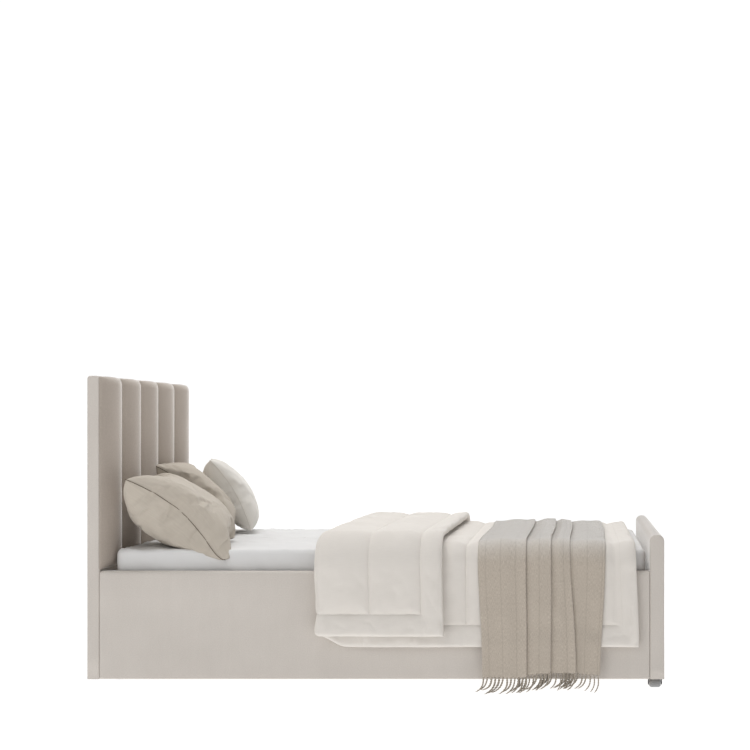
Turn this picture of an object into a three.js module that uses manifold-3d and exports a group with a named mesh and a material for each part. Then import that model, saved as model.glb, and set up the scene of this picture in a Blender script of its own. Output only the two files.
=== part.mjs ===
// A single (toddler) bed: upholstered headboard, side rails and footboard on a slatted base, with its
// mattress, bedding, a throw and three pillows. Millimetres, +Z up, foot end at +X, origin on the floor
// below the middle of the bed.
import * as THREE from 'three';
import { mergeVertices } from 'three/addons/utils/BufferGeometryUtils.js';
import Module from 'manifold-3d';

const wasm = await Module();
wasm.setup();

// ---------------------------------------------------------------- driving dimensions
const bed = { length: 1733, width: 880, lift: 43, gap: 0.3 };
const headboard = {
  thick: 37, top: 954, cover: 5, frontRound: 6, backRound: 10, channels: 5, bulge: 20, roll: 24, seam: 1.5,
};
const footboard = { thick: 44, top: 476, cover: 5, round: 20, padTop: 8 };
const rail = { thick: 32, top: 367, cover: 5, round: 12 };
const board = { lift: 2 };
const mattress = { length: 1600, width: 800, height: 140, base: 284, corner: 22, edge: 14, footGap: 14 };
const sheet = { outside: 3.6, inside: 0.5, topOutside: 4, topInside: 0.6, hem: 6 };
const slats = { count: 12, width: 68, thick: 12, length: 808, endMargin: 75, play: 2 };
const ledge = { width: 28, height: 40, endInset: 45 };
const beam = { width: 45, height: 70, endInset: 4 };
const stirrup = { plate: 3.4, cheek: 2.5, seat: 3, reach: 50, topInset: 8 };
const centreLeg = { radius: 19, padRadius: 23, padHeight: 12 };
const bolt = { inset: 22, height: 180, radius: 4, headRadius: 7.5, headHeight: 5 };
const boltBore = { radius: 4.4, reach: 20, endWall: 6 };
const bracket = { low: 110, high: 228, leg: 42, thick: 3 };
const headFoot = { inset: 235, radius: 15, round: 4, flange: 3, flangeLow: 37 };
const caster = {
  x: 844, y: 345, wheel: 15, tread: 16, trail: 5, plate: 2.6, plateLength: 42, plateWidth: 48,
  collar: 2.4, collarRadius: 9, axle: 2.5, pinHole: 2.8, legX: 20, legThick: 2.4, legWidth: 14,
};
const duvet = {
  foldX: -175, topEndX: 215, footX: 780, hem: 143, foldHem: 180, thick: 20, foldRise: 34, foldSide: 28,
};
const throwCloth = { x0: 312, x1: 693, hem: 50, thick: 4, rise: 2 };
const bedding = { rest: 5, shoulder: 46, shoulderDrop: 44, cornerIn: 14, cornerDown: 16 };

const headX = -bed.length / 2;
const footX = bed.length / 2;
const headFace = headX + headboard.thick;
const footFace = footX - footboard.thick;
const sideY = bed.width / 2;
const railInnerY = sideY - rail.thick;
const mattressTop = mattress.base + mattress.height;
const mattressHeadX = footFace - mattress.footGap - mattress.length;
const beddingRest = mattressTop + bedding.rest;
const slatTop = mattress.base - slats.play;
const ledgeTop = slatTop - slats.thick - bed.gap;

// ---------------------------------------------------------------- materials
const material = (colour, roughness, metalness = 0) =>
  new THREE.MeshStandardMaterial({ color: colour, roughness, metalness });
const finish = {
  upholstery: material('#c9bfb3', 0.9),
  board: material('#c8a97e', 0.75),
  birch: material('#d9bf93', 0.6),
  steel: material('#b9bcc0', 0.35, 1),
  blackSteel: material('#26272a', 0.5, 0.6),
  greyPlastic: material('#a8a9ab', 0.45),
  sheet: material('#f1f0ee', 0.9),
  duvet: material('#efe9df', 0.9),
  throwWool: material('#b7aa99', 0.95),
  pillowBeige: material('#bdb2a4', 0.9),
  pillowGrey: material('#d3cec6', 0.9),
};

// ---------------------------------------------------------------- solids
const bedGroup = new THREE.Group();

function addPart(name, geometry, look) {
  const mesh = new THREE.Mesh(geometry, look);
  mesh.name = name;
  bedGroup.add(mesh);
  return mesh;
}

// A box between two corners.
function block(x0, x1, y0, y1, z0, z1) {
  const geometry = new THREE.BoxGeometry(x1 - x0, y1 - y0, z1 - z0);
  return geometry.translate((x0 + x1) / 2, (y0 + y1) / 2, (z0 + z1) / 2);
}

// A cylinder along 'x', 'y' or 'z', centred on a point.
function rod(axis, radius, length, x, y, z, sides = 24) {
  const geometry = new THREE.CylinderGeometry(radius, radius, length, sides);
  if (axis === 'z') geometry.rotateX(Math.PI / 2);
  if (axis === 'x') geometry.rotateZ(Math.PI / 2);
  return geometry.translate(x, y, z);
}

function toManifold(geometry) {
  const bare = geometry.clone();
  bare.deleteAttribute('normal');
  bare.deleteAttribute('uv');
  const merged = mergeVertices(bare, 1e-4);
  return new wasm.Manifold(new wasm.Mesh({
    numProp: 3,
    vertProperties: Float32Array.from(merged.attributes.position.array),
    triVerts: Uint32Array.from(merged.index.array),
  }));
}

function fromManifold(solid) {
  const mesh = solid.getMesh();
  const geometry = new THREE.BufferGeometry();
  geometry.setAttribute('position', new THREE.BufferAttribute(mesh.vertProperties, 3));
  geometry.setIndex(new THREE.BufferAttribute(mesh.triVerts, 1));
  geometry.computeVertexNormals();
  return geometry;
}

// The first geometry less all the others.
function cut(geometry, ...tools) {
  return fromManifold(tools.reduce((solid, tool) => solid.subtract(toManifold(tool)), toManifold(geometry)));
}

function join(...geometries) {
  const solids = geometries.map(toManifold);
  return fromManifold(solids.reduce((whole, solid) => whole.add(solid)));
}

// A closed skin through rings of points, with a flat fan over the first and the last ring.
function loft(rings) {
  const count = rings[0].length;
  const centre = (ring) => ring.reduce((sum, p) => sum.add(p), new THREE.Vector3()).divideScalar(count);
  const points = [...rings.flat(), centre(rings[0]), centre(rings.at(-1))];
  const first = rings.length * count;
  const faces = [];
  for (let i = 0; i < count; i += 1) {
    const next = (i + 1) % count;
    for (let row = 0; row < rings.length - 1; row += 1) {
      const a = row * count;
      const b = a + count;
      faces.push(a + i, a + next, b + next, a + i, b + next, b + i);
    }
    faces.push(first, next, i);
    faces.push(first + 1, first - count + i, first - count + next);
  }
  const geometry = new THREE.BufferGeometry();
  geometry.setAttribute('position', new THREE.Float32BufferAttribute(points.flatMap((p) => p.toArray()), 3));
  geometry.setIndex(volume(points, faces) > 0 ? faces : faces.reverse());
  geometry.computeVertexNormals();
  return geometry;
}

function volume(points, faces) {
  let sum = 0;
  for (let i = 0; i < faces.length; i += 3) {
    const [a, b, c] = [0, 1, 2].map((k) => points[faces[i + k]]);
    sum += a.dot(new THREE.Vector3().crossVectors(b, c));
  }
  return sum;
}

// A flat outline as a shape: each point's first number runs across, its second is Z.
function outlineShape(points) {
  return new THREE.Shape(points.map(([u, v]) => new THREE.Vector2(u, v)));
}

// An outline in X and Z, from y0 to y1.
function pushAlongY(points, y0, y1) {
  const geometry = new THREE.ExtrudeGeometry(outlineShape(points), { depth: y1 - y0, bevelEnabled: false });
  return geometry.rotateX(Math.PI / 2).translate(0, y1, 0);
}

// An outline in Y and Z, from x0 to x1.
function pushAlongX(points, x0, x1) {
  const geometry = new THREE.ExtrudeGeometry(outlineShape(points), { depth: x1 - x0, bevelEnabled: false });
  return geometry.rotateX(Math.PI / 2).rotateZ(Math.PI / 2).translate(x0, 0, 0);
}

// Points of an arc about (u, v), from one angle to another in degrees.
function arc(u, v, radius, from, to, steps = 4) {
  return Array.from({ length: steps + 1 }, (_, i) => {
    const angle = THREE.MathUtils.degToRad(from + (to - from) * i / steps);
    return [u + radius * Math.cos(angle), v + radius * Math.sin(angle)];
  });
}

// The ring of a rounded rectangle at one height.
function roundedRing(x0, x1, y0, y1, radius, z) {
  const corners = [[x1, y1, 0], [x0, y1, 90], [x0, y0, 180], [x1, y0, 270]];
  return corners.flatMap(([x, y, from]) => {
    const u = x === x1 ? x - radius : x + radius;
    const v = y === y1 ? y - radius : y + radius;
    return arc(u, v, radius, from, from + 90, 3).map(([a, b]) => new THREE.Vector3(a, b, z));
  });
}

// A mattress-like slab: rounded corners in plan and softened top and bottom edges.
function paddedSlab(x0, x1, y0, y1, z0, z1) {
  const { corner, edge } = mattress;
  const chamfer = edge * 0.3;
  const ring = (inset, z) => roundedRing(x0 + inset, x1 - inset, y0 + inset, y1 - inset, corner, z);
  return loft([
    ring(edge, z0), ring(0, z0 + edge), ring(0, z1 - edge), ring(chamfer, z1 - chamfer), ring(edge, z1),
  ]);
}

// A cushion lying flat about the origin: length along Y, width along X, plump in the middle, thin at the seam.
function cushion(length, width, thick) {
  const stations = 12;
  const around = 20;
  const rings = Array.from({ length: stations + 1 }, (_, i) => {
    const along = -Math.cos(Math.PI * i / stations) * 0.995;
    const fullness = Math.pow(1 - along ** 4, 0.6);
    const halfWidth = width / 2 * (0.94 + 0.06 * along ** 2) * (Math.abs(along) > 0.99 ? 0.92 : 1);
    return Array.from({ length: around }, (_ignored, k) => {
      const angle = 2 * Math.PI * k / around;
      const across = Math.sign(Math.cos(angle)) * Math.abs(Math.cos(angle)) ** 0.7;
      const height = Math.sin(angle) * (0.06 + 0.94 * fullness) * thick / 2;
      return new THREE.Vector3(halfWidth * across, along * length / 2, height);
    });
  });
  return loft(rings);
}

// ---------------------------------------------------------------- headboard
// Board, the cover that wraps its back and edges, and five padded upright channels on its face.
function addHeadboard() {
  const { cover, top, frontRound, backRound, channels } = headboard;
  const bottom = bed.lift;
  const core = block(
    headX + cover, headFace - cover, -sideY + cover, sideY - cover, bottom + board.lift, top - cover,
  );
  const outline = [
    [headX, bottom],
    [headFace, bottom],
    ...arc(headFace - frontRound, top - frontRound, frontRound, 0, 90, 3),
    ...arc(headX + backRound, top - backRound, backRound, 90, 180, 3),
  ];
  const wall = cover - bed.gap;
  const hollow = block(headX + wall, headFace - wall, -sideY + wall, sideY - wall, bottom - 1, top - wall);
  const holes = boltPlaces().filter((place) => place.x < 0).map((place) => boltHole(place));
  addPart('headboard_core', cut(core, ...holes), finish.board);
  addPart('headboard_cover', cut(pushAlongY(outline, -sideY, sideY), hollow, ...holes), finish.upholstery);

  const pitch = bed.width / channels;
  for (let n = 0; n < channels; n += 1) {
    const y0 = -sideY + n * pitch + bed.gap;
    addPart(`headboard_channel_${n + 1}`, channelPad(y0, y0 + pitch - 2 * bed.gap), finish.upholstery);
  }
}

// One upright channel: a shallow arched section whose fullness dies away over the rolled top.
function channelPad(y0, y1) {
  const { bulge, roll, seam, top } = headboard;
  const back = headFace + bed.gap;
  const low = rail.top + 6;
  const softStart = 12;
  const columns = 10;
  const rollSteps = 5;
  const section = (z, fullness) => {
    const front = Array.from({ length: columns + 1 }, (_, i) => {
      const t = i / columns;
      const rise = Math.sin(Math.PI * t) ** 0.55;
      return new THREE.Vector3(back + seam + (bulge - seam) * fullness * rise, y0 + (y1 - y0) * t, z);
    });
    return [new THREE.Vector3(back, y0, z), ...front, new THREE.Vector3(back, y1, z)];
  };
  const rings = [section(low, 0.6), section(low + softStart, 1), section(top - roll, 1)];
  for (let step = 1; step <= rollSteps; step += 1) {
    const angle = Math.PI / 2 * step / rollSteps;
    rings.push(section(top - roll + roll * Math.sin(angle), Math.cos(angle)));
  }
  return loft(rings);
}

// ---------------------------------------------------------------- footboard
function addFootboard() {
  const { cover, top, round, padTop } = footboard;
  const bottom = bed.lift;
  const coreTop = top - cover - padTop;
  const core = block(
    footFace + cover, footX - cover, -sideY + cover, sideY - cover, bottom + board.lift, coreTop,
  );
  const outline = [
    [footFace, bottom],
    [footX, bottom],
    ...arc(footX - round, top - round, round, 0, 90, 4),
    ...arc(footFace + round, top - round, round, 90, 180, 4),
  ];
  const wall = cover - bed.gap;
  const hollow = block(
    footFace + wall, footX - wall, -sideY + wall, sideY - wall, bottom - 1, coreTop + bed.gap,
  );
  const holes = boltPlaces().filter((place) => place.x > 0).map((place) => boltHole(place));
  addPart('footboard_core', cut(core, ...holes), finish.board);
  addPart('footboard_cover', cut(pushAlongY(outline, -sideY, sideY), hollow, ...holes), finish.upholstery);
}

// ---------------------------------------------------------------- side rails, ledges and centre beam
const sides = [['near', -1], ['far', 1]];

function mirrorY(points, side) {
  return side < 0 ? points : points.map(([u, v]) => [-u, v]).reverse();
}

function addRails() {
  const x0 = headFace + bed.gap;
  const x1 = footFace - bed.gap;
  const { cover, top, round } = rail;
  const bottom = bed.lift;
  const coreBottom = bottom + cover;
  for (const [name, side] of sides) {
    const coverOutline = mirrorY([
      [-railInnerY, bottom],
      [-railInnerY, bottom + cover - 1],
      [-sideY + cover, bottom + cover - 1],
      [-sideY + cover, top - cover],
      [-railInnerY, top - cover],
      [-railInnerY, top],
      ...arc(-sideY + round, top - round, round, 90, 180, 3),
      [-sideY, bottom],
    ], side);
    addPart(`rail_cover_${name}`, pushAlongX(coverOutline, x0, x1), finish.upholstery);
    const yOut = side * (sideY - cover - bed.gap);
    const yIn = side * (railInnerY + bed.gap);
    addPart(`rail_core_${name}`, block(
      x0, x1, Math.min(yOut, yIn), Math.max(yOut, yIn),
      coreBottom, top - cover - bed.gap,
    ), finish.board);
    const yWall = side * (railInnerY - bed.gap);
    const yEdge = side * (railInnerY - ledge.width);
    addPart(`slat_ledge_${name}`, block(
      x0 + ledge.endInset, x1 - ledge.endInset, Math.min(yWall, yEdge), Math.max(yWall, yEdge),
      ledgeTop - ledge.height, ledgeTop,
    ), finish.birch);
  }
}

function addCentreBeam() {
  const half = beam.width / 2;
  const inset = beam.endInset + bed.gap;
  const low = ledgeTop - beam.height;
  addPart('centre_beam', block(headFace + inset, footFace - inset, -half, half, low, ledgeTop), finish.birch);
  addPart('beam_bracket_head', beamStirrup(headFace + bed.gap, 1, low), finish.steel);
  addPart('beam_bracket_foot', beamStirrup(footFace - bed.gap, -1, low), finish.steel);
  const { radius, padRadius, padHeight } = centreLeg;
  const legHeight = low - padHeight - 2 * bed.gap;
  addPart('centre_leg', rod('z', radius, legHeight, 0, 0, (low + padHeight) / 2), finish.blackSteel);
  addPart('centre_leg_pad', rod('z', padRadius, padHeight, 0, 0, padHeight / 2), finish.greyPlastic);
}

// A steel stirrup for a beam's end: a plate on the board, a shelf under the beam and a cheek on each side.
function beamStirrup(wall, inward, beamLow) {
  const { plate, cheek, seat, reach, topInset } = stirrup;
  const slab = (from, to, ...rest) => {
    const [a, b] = [wall + inward * from, wall + inward * to];
    return block(Math.min(a, b), Math.max(a, b), ...rest);
  };
  const top = ledgeTop - topInset;
  const shelf = beamLow - bed.gap;
  const inner = beam.width / 2 + bed.gap;
  const outer = inner + cheek;
  return join(
    slab(0, plate, -outer, outer, shelf - seat, top),
    slab(1, reach, -outer, outer, shelf - seat, shelf),
    slab(1, reach, inner, outer, shelf - 1, top),
    slab(1, reach, -outer, -inner, shelf - 1, top),
  );
}

function addSlats() {
  const first = headFace + slats.endMargin;
  const last = footFace - slats.endMargin;
  for (let n = 0; n < slats.count; n += 1) {
    const x = first + (last - first) * n / (slats.count - 1);
    addPart(`slat_${n + 1}`, block(
      x - slats.width / 2, x + slats.width / 2, -slats.length / 2, slats.length / 2,
      slatTop - slats.thick, slatTop,
    ), finish.birch);
  }
}

// ---------------------------------------------------------------- corner brackets and bolts
function boltPlaces() {
  const places = [];
  for (const [end, inward] of [['head', 1], ['foot', -1]]) {
    for (const [name, side] of sides) {
      const x = end === 'head' ? headFace : footFace;
      const depth = (end === 'head' ? headboard.thick : footboard.thick) - boltBore.endWall;
      const y = side * (railInnerY - bolt.inset);
      places.push({ name: `${end}_${name}`, x, y, z: bolt.height, inward, depth });
    }
  }
  return places;
}

// A blind clearance hole, from just inside the frame to a little short of the board's outer face.
function boltHole({ x, y, z, inward, depth }) {
  const { radius, reach } = boltBore;
  return rod('x', radius, depth + reach, x + inward * (reach - depth) / 2, y, z, 16);
}

function addCorners() {
  for (const place of boltPlaces()) {
    const { x, y, z, inward, depth, name } = place;
    const side = Math.sign(y);
    const face = x + inward * bed.gap;
    const wall = side * (railInnerY - bed.gap);
    const { leg, thick, low, high } = bracket;
    const plate = (xa, xb, ya, yb) => block(
      Math.min(xa, xb), Math.max(xa, xb), Math.min(ya, yb), Math.max(ya, yb), low, high,
    );
    const angle = join(
      plate(face, face + inward * thick, wall, wall - side * leg),
      plate(face, face + inward * leg, wall, wall - side * thick),
    );
    addPart(`corner_bracket_${name}`, cut(angle, boltHole(place)), finish.steel);
    const headStart = face + inward * (thick + bed.gap);
    const headMiddle = headStart + inward * bolt.headHeight / 2;
    const head = rod('x', bolt.headRadius, bolt.headHeight, headMiddle, y, z, 6);
    const shankEnd = x - inward * (depth - 1);
    const shankStart = headStart + inward;
    const shankMiddle = (shankEnd + shankStart) / 2;
    const shank = rod('x', bolt.radius, Math.abs(shankEnd - shankStart), shankMiddle, y, z, 16);
    addPart(`corner_bolt_${name}`, join(head, shank), finish.steel);
  }
}

// ---------------------------------------------------------------- feet and casters
function addFeet() {
  for (const [name, side] of sides) {
    const { radius, inset, round, flange, flangeLow } = headFoot;
    const top = bed.lift - bed.gap;
    const profile = [
      [0, 0], [radius - round, 0], [radius, round], [radius, flangeLow - flange], [radius + flange, flangeLow],
      [radius + flange, top], [0, top],
    ];
    const foot = new THREE.LatheGeometry(profile.map(([r, z]) => new THREE.Vector2(r, z)), 28);
    foot.rotateX(Math.PI / 2).translate((headX + headFace) / 2, side * (sideY - inset), 0);
    addPart(`head_foot_${name}`, foot, finish.blackSteel);
  }
}

// A wide roller in a swivelling fork under the footboard; the axle trails the swivel axis a little.
function addCaster(name, side) {
  const { x, wheel, trail, plate, plateLength, plateWidth, collar, collarRadius } = caster;
  const y = side * caster.y;
  const axleY = y + trail;
  const plateLow = bed.lift - bed.gap - plate;
  const plateBlock = block(
    x - plateLength / 2, x + plateLength / 2, y - plateWidth / 2, y + plateWidth / 2, plateLow, plateLow + plate,
  );
  const collarRod = rod('z', collarRadius, collar, x, y, plateLow - collar / 2 + 0.1);
  addPart(`caster_plate_${name}`, join(plateBlock, collarRod), finish.blackSteel);
  addPart(`caster_fork_${name}`, forkShape(x, y, axleY, plateLow - collar - bed.gap), finish.blackSteel);
  addPart(`caster_axle_${name}`, rod('x', caster.axle, 2 * caster.legX + 4, x, axleY, wheel, 16), finish.steel);
  addPart(`caster_wheel_${name}`, rollerShape().translate(x, axleY, wheel), finish.greyPlastic);
}

// The fork: a crown below the collar and a leg at each end of the roller, with a hole for the axle.
function forkShape(x, y, axleY, crownTop) {
  const { wheel, legX, legThick, legWidth, pinHole } = caster;
  const crownThick = 2.6;
  const reach = legX + legThick / 2;
  const crown = block(x - reach, x + reach, y - 10, axleY + 8, crownTop - crownThick, crownTop);
  const legs = [-1, 1].map((end) => block(
    x + end * legX - legThick / 2, x + end * legX + legThick / 2,
    axleY - legWidth / 2, axleY + legWidth / 2, wheel - 6, crownTop - 1,
  ));
  return cut(join(crown, ...legs), rod('x', pinHole, 60, x, axleY, wheel, 16));
}

// A wide roller about the X axis, with rounded shoulders and a bore for its axle.
function rollerShape() {
  const { wheel, tread, pinHole } = caster;
  const half = [[pinHole, tread], [wheel - 5, tread + 1.5], [wheel - 1.5, tread - 1], [wheel, tread - 5]];
  const outline = [...half.map(([radius, u]) => [radius, -u]), ...half.reverse()];
  const closed = [...outline, outline[0]];
  return new THREE.LatheGeometry(closed.map(([r, u]) => new THREE.Vector2(r, u)), 32).rotateZ(-Math.PI / 2);
}

// ---------------------------------------------------------------- mattress and bedding
function addMattress() {
  const { length, width, base } = mattress;
  const x0 = mattressHeadX;
  const x1 = x0 + length;
  const half = width / 2;
  addPart('mattress', paddedSlab(x0, x1, -half, half, base, mattressTop), finish.sheet);
  const skin = (grow, z0, z1) => paddedSlab(x0 - grow, x1 + grow, -half - grow, half + grow, z0, z1);
  const outer = skin(sheet.outside, base + sheet.hem, mattressTop + sheet.topOutside);
  const inner = skin(sheet.inside, base - 30, mattressTop + sheet.topInside);
  addPart('fitted_sheet', cut(outer, inner), finish.sheet);
}

// The bent-over section of a cover that lies on the bed and hangs down both sides: an outline in Y and Z.
// `low` and `high` are its lower and upper face on the mattress, and `inside` and `outside` those of the hang.
function drapeOutline({ hem, low, high, inside, outside }) {
  const { shoulder: turn, shoulderDrop, cornerIn, cornerDown } = bedding;
  const shoulder = (y, z) => [[y, hem], [y, z - shoulderDrop], [y - cornerIn, z - cornerDown], [y - turn, z]];
  const halfSection = [...shoulder(inside, low).reverse(), ...shoulder(outside, high)];
  return [...halfSection, ...halfSection.map(([y, z]) => [-y, z]).reverse()];
}

function addDuvet() {
  const { hem, foldHem, thick, foldRise, foldSide, foldX, topEndX, footX } = duvet;
  const inside = sideY + 2;
  const under = { hem, low: beddingRest, high: beddingRest + thick, inside, outside: inside + thick };
  const folded = {
    hem: foldHem, low: under.high - 1, high: under.high + foldRise,
    inside: under.outside - 1, outside: under.outside + foldSide,
  };
  const foldRound = 12;
  const lower = pushAlongX(drapeOutline(under), foldX + foldRound, footX);
  const upper = pushAlongX(drapeOutline(folded), foldX, topEndX);
  addPart('duvet', join(lower, upper), finish.duvet);
}

function addThrow() {
  const { x0, x1, hem, thick, rise } = throwCloth;
  const low = beddingRest + duvet.thick + 1;
  const inside = sideY + 2 + duvet.thick + 1;
  const outline = drapeOutline({ hem, low, high: low + thick + rise, inside, outside: inside + thick });
  addPart('throw_blanket', pushAlongX(outline, x0, x1), finish.throwWool);
}

// A cushion leaning towards the headboard, pressed flat where it rests on the sheet. `tip` is how far its
// plane stands up from lying flat, in degrees.
function addPillow(name, { length, width, thick, tip, turn, centre }, look) {
  const geometry = cushion(length, width, thick);
  geometry.rotateY(THREE.MathUtils.degToRad(tip)).rotateZ(THREE.MathUtils.degToRad(turn)).translate(...centre);
  const support = block(headX, footX, -sideY, sideY, 0, beddingRest);
  addPart(name, cut(geometry, support), look);
}

addHeadboard();
addFootboard();
addRails();
addCentreBeam();
addSlats();
addCorners();
addFeet();
sides.forEach(([name, side]) => addCaster(name, side));
addMattress();
addDuvet();
addThrow();
addPillow('pillow_front', {
  length: 350, width: 390, thick: 205, tip: 42, turn: -4, centre: [-606, -232, 532],
}, finish.pillowBeige);
addPillow('pillow_back', {
  length: 440, width: 350, thick: 105, tip: 55, turn: 0, centre: [-694, 172, 568],
}, finish.pillowBeige);
addPillow('pillow_small', {
  length: 330, width: 285, thick: 85, tip: 64, turn: 0, centre: [-566, 236, 560],
}, finish.pillowGrey);

export default bedGroup;
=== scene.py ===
"""A single upholstered bed with its bedding: the frame's covers, mattress, quilt, throw and cushions."""
import math

import bmesh
import bpy
import numpy as np
from mathutils import Matrix, Vector, noise


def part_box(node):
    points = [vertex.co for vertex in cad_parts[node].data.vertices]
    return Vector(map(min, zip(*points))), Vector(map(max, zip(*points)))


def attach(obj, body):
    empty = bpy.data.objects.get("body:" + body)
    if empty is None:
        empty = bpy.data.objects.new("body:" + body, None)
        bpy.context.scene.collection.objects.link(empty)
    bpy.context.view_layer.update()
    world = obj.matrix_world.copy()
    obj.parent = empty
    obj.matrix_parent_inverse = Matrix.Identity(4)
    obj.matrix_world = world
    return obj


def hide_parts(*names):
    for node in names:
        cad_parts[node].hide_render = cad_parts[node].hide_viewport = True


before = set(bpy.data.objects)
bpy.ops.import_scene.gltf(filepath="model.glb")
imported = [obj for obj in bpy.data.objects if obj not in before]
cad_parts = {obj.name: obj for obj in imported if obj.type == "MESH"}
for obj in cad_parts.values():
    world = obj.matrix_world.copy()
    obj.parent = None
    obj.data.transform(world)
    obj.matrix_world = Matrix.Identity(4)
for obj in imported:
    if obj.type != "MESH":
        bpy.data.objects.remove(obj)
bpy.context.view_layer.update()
TURN = 2 * math.pi

# ------------------------------------------------------------------ sizes taken from the frame
cover_lo, cover_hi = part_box("headboard_cover")
foot_lo, foot_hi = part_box("footboard_cover")
rail_lo, rail_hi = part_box("rail_cover_near")
sheet_lo, sheet_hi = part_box("fitted_sheet")
quilt_lo, quilt_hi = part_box("duvet")
throw_lo, throw_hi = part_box("throw_blanket")
half_width = cover_hi.y
bed_top = sheet_hi.z


# ------------------------------------------------------------------ node trees
class Signal:
    """A node's output. Arithmetic on it adds Math nodes to the same tree."""

    def __init__(self, tree, socket):
        self.tree, self.socket = tree, socket

    def math(self, operation, first, second=0.0):
        return self.tree.add("ShaderNodeMath", {"operation": operation}, {0: first, 1: second})

    def __add__(self, other):
        return self.math("ADD", self, other)

    def __sub__(self, other):
        return self.math("SUBTRACT", self, other)

    def __rsub__(self, other):
        return self.math("SUBTRACT", other, self)

    def __mul__(self, other):
        return self.math("MULTIPLY", self, other)

    def __truediv__(self, other):
        return self.math("DIVIDE", self, other)

    def __rtruediv__(self, other):
        return self.math("DIVIDE", other, self)

    def __pow__(self, other):
        return self.math("POWER", self, other)

    __radd__ = __add__
    __rmul__ = __mul__

    def wave(self):
        return self.math("SINE", self)

    def size(self):
        return self.math("ABSOLUTE", self)

    def positive(self):
        """The value itself where it is above zero, and zero below."""
        return (self + self.size()) * 0.5


class Tree:
    """A shader or geometry tree, whose nodes all come from add()."""

    def __init__(self, node_tree):
        self.node_tree = node_tree

    def add(self, kind, settings=None, inputs=None, out=0):
        """Adds one node: its settings first, then its sockets' values or links. Returns its output `out`."""
        node = self.node_tree.nodes.new(kind)
        for key, value in (settings or {}).items():
            setattr(node, key, value)
        for key, value in (inputs or {}).items():
            if isinstance(value, Signal):
                self.node_tree.links.new(value.socket, node.inputs[key])
            else:
                node.inputs[key].default_value = value
        return Signal(self, node.outputs[out]) if len(node.outputs) else node

    def parts(self, vector):
        """The X, Y and Z of a vector."""
        node = self.add("ShaderNodeSeparateXYZ", inputs={0: vector}).socket.node
        return [Signal(self, node.outputs[axis]) for axis in range(3)]


class Finish(Tree):
    """A material. Patterns run on Object coordinates in metres, or on the piece's own map."""

    def __init__(self, name):
        self.material = bpy.data.materials.new(name)
        self.material.use_nodes = True
        super().__init__(self.material.node_tree)
        self.node_tree.nodes.clear()

    def place(self):
        return self.add("ShaderNodeTexCoord", out=3)

    def own_map(self):
        return self.add("ShaderNodeUVMap", {"uv_map": "cloth"})

    def facing_up(self):
        """How far the surface faces up, from 0 on its sides to 1."""
        return self.parts(self.add("ShaderNodeNewGeometry", out="Normal"))[2].positive()

    def stretched(self, vector, scale):
        return self.add("ShaderNodeMapping", inputs={"Vector": vector, "Scale": scale})

    def cloud(self, vector, scale, detail=3.0, roughness=0.55):
        return self.add("ShaderNodeTexNoise", inputs={
            "Vector": vector, "Scale": scale, "Detail": detail, "Roughness": roughness,
        })

    def between(self, amount, first, second):
        """A colour from first to second as amount goes from 0 to 1."""
        first, second = [c if isinstance(c, Signal) else (*c, 1.0) for c in (first, second)]
        return self.add("ShaderNodeMix", {"data_type": "RGBA", "clamp_factor": True},
                        {0: amount, 6: first, 7: second}, out=2)

    def bump(self, height, strength, distance, under=None):
        inputs = {"Height": height, "Strength": strength, "Distance": distance}
        if under is not None:
            inputs["Normal"] = under
        return self.add("ShaderNodeBump", inputs=inputs)

    def finish(self, **sockets):
        """Ends the tree in a Principled shader with these sockets, named with _ for spaces."""
        inputs = {name.replace("_", " "): value for name, value in sockets.items()}
        shader = self.add("ShaderNodeBsdfPrincipled", inputs=inputs)
        self.add("ShaderNodeOutputMaterial", inputs={"Surface": shader})
        return self.material


# ------------------------------------------------------------------ finishes
def velvet(name, dark, light):
    """Short-pile upholstery: clouds where the nap lies differently, a grain of pile and a pale sheen."""
    look = Finish(name)
    place = look.place()
    nap = look.cloud(place, 5.0, 4.0)
    streaks = look.cloud(look.stretched(place, (40.0, 40.0, 6.0)), 1.0, 3.0)
    pile = look.cloud(place, 1500.0, 2.0)
    grain = look.cloud(place, 300.0, 3.0, 0.7)
    shade = nap * 0.45 + streaks * 0.15 + grain * 0.8 - 0.2
    colour = look.between(shade, dark, light)
    bump = look.bump(pile * 0.6 + grain, 0.35, 0.0007)
    return look.finish(
        Base_Color=colour, Roughness=0.82, Sheen_Weight=1.0, Sheen_Roughness=0.28,
        Sheen_Tint=(1.0, 0.985, 0.965, 1.0), Specular_IOR_Level=0.25, Normal=bump,
    )


def plain_weave(name, dark, light, threads, relief, sheen=0.15, slub=0.3, creased=0.0):
    """A flat cotton or linen weave on the piece's own map, with slubs, faint clouds and pressed creases."""
    look = Finish(name)
    cloth = look.own_map()
    across, along, _ = look.parts(cloth)
    weave = (across * (TURN * threads)).wave() * (along * (TURN * threads)).wave()
    slubs = look.cloud(look.stretched(cloth, (threads * 0.05, threads * 0.9, 1.0)), 1.0, 2.0)
    clouds = look.cloud(look.place(), 9.0, 3.0)
    shade = clouds * (0.75 - slub) + slubs * slub + weave * 0.06 + 0.12
    colour = look.between(shade, dark, light)
    bump = look.bump(weave * 0.5 + slubs * 0.8, relief, 0.0006)
    if creased:
        off_line = (look.cloud(look.place(), 6.0, 2.0, 0.45) - 0.5).size()
        ridges = 1 / (1 + (off_line * 42.0) ** 2.0)
        patches = look.cloud(look.stretched(look.place(), (5.0, 7.0, 6.0)), 1.0, 1.0)
        bump = look.bump(ridges * patches, creased, 0.012, bump)
    return look.finish(
        Base_Color=colour, Roughness=0.9, Sheen_Weight=sheen, Sheen_Roughness=0.5,
        Specular_IOR_Level=0.2, Normal=bump,
    )


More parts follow.
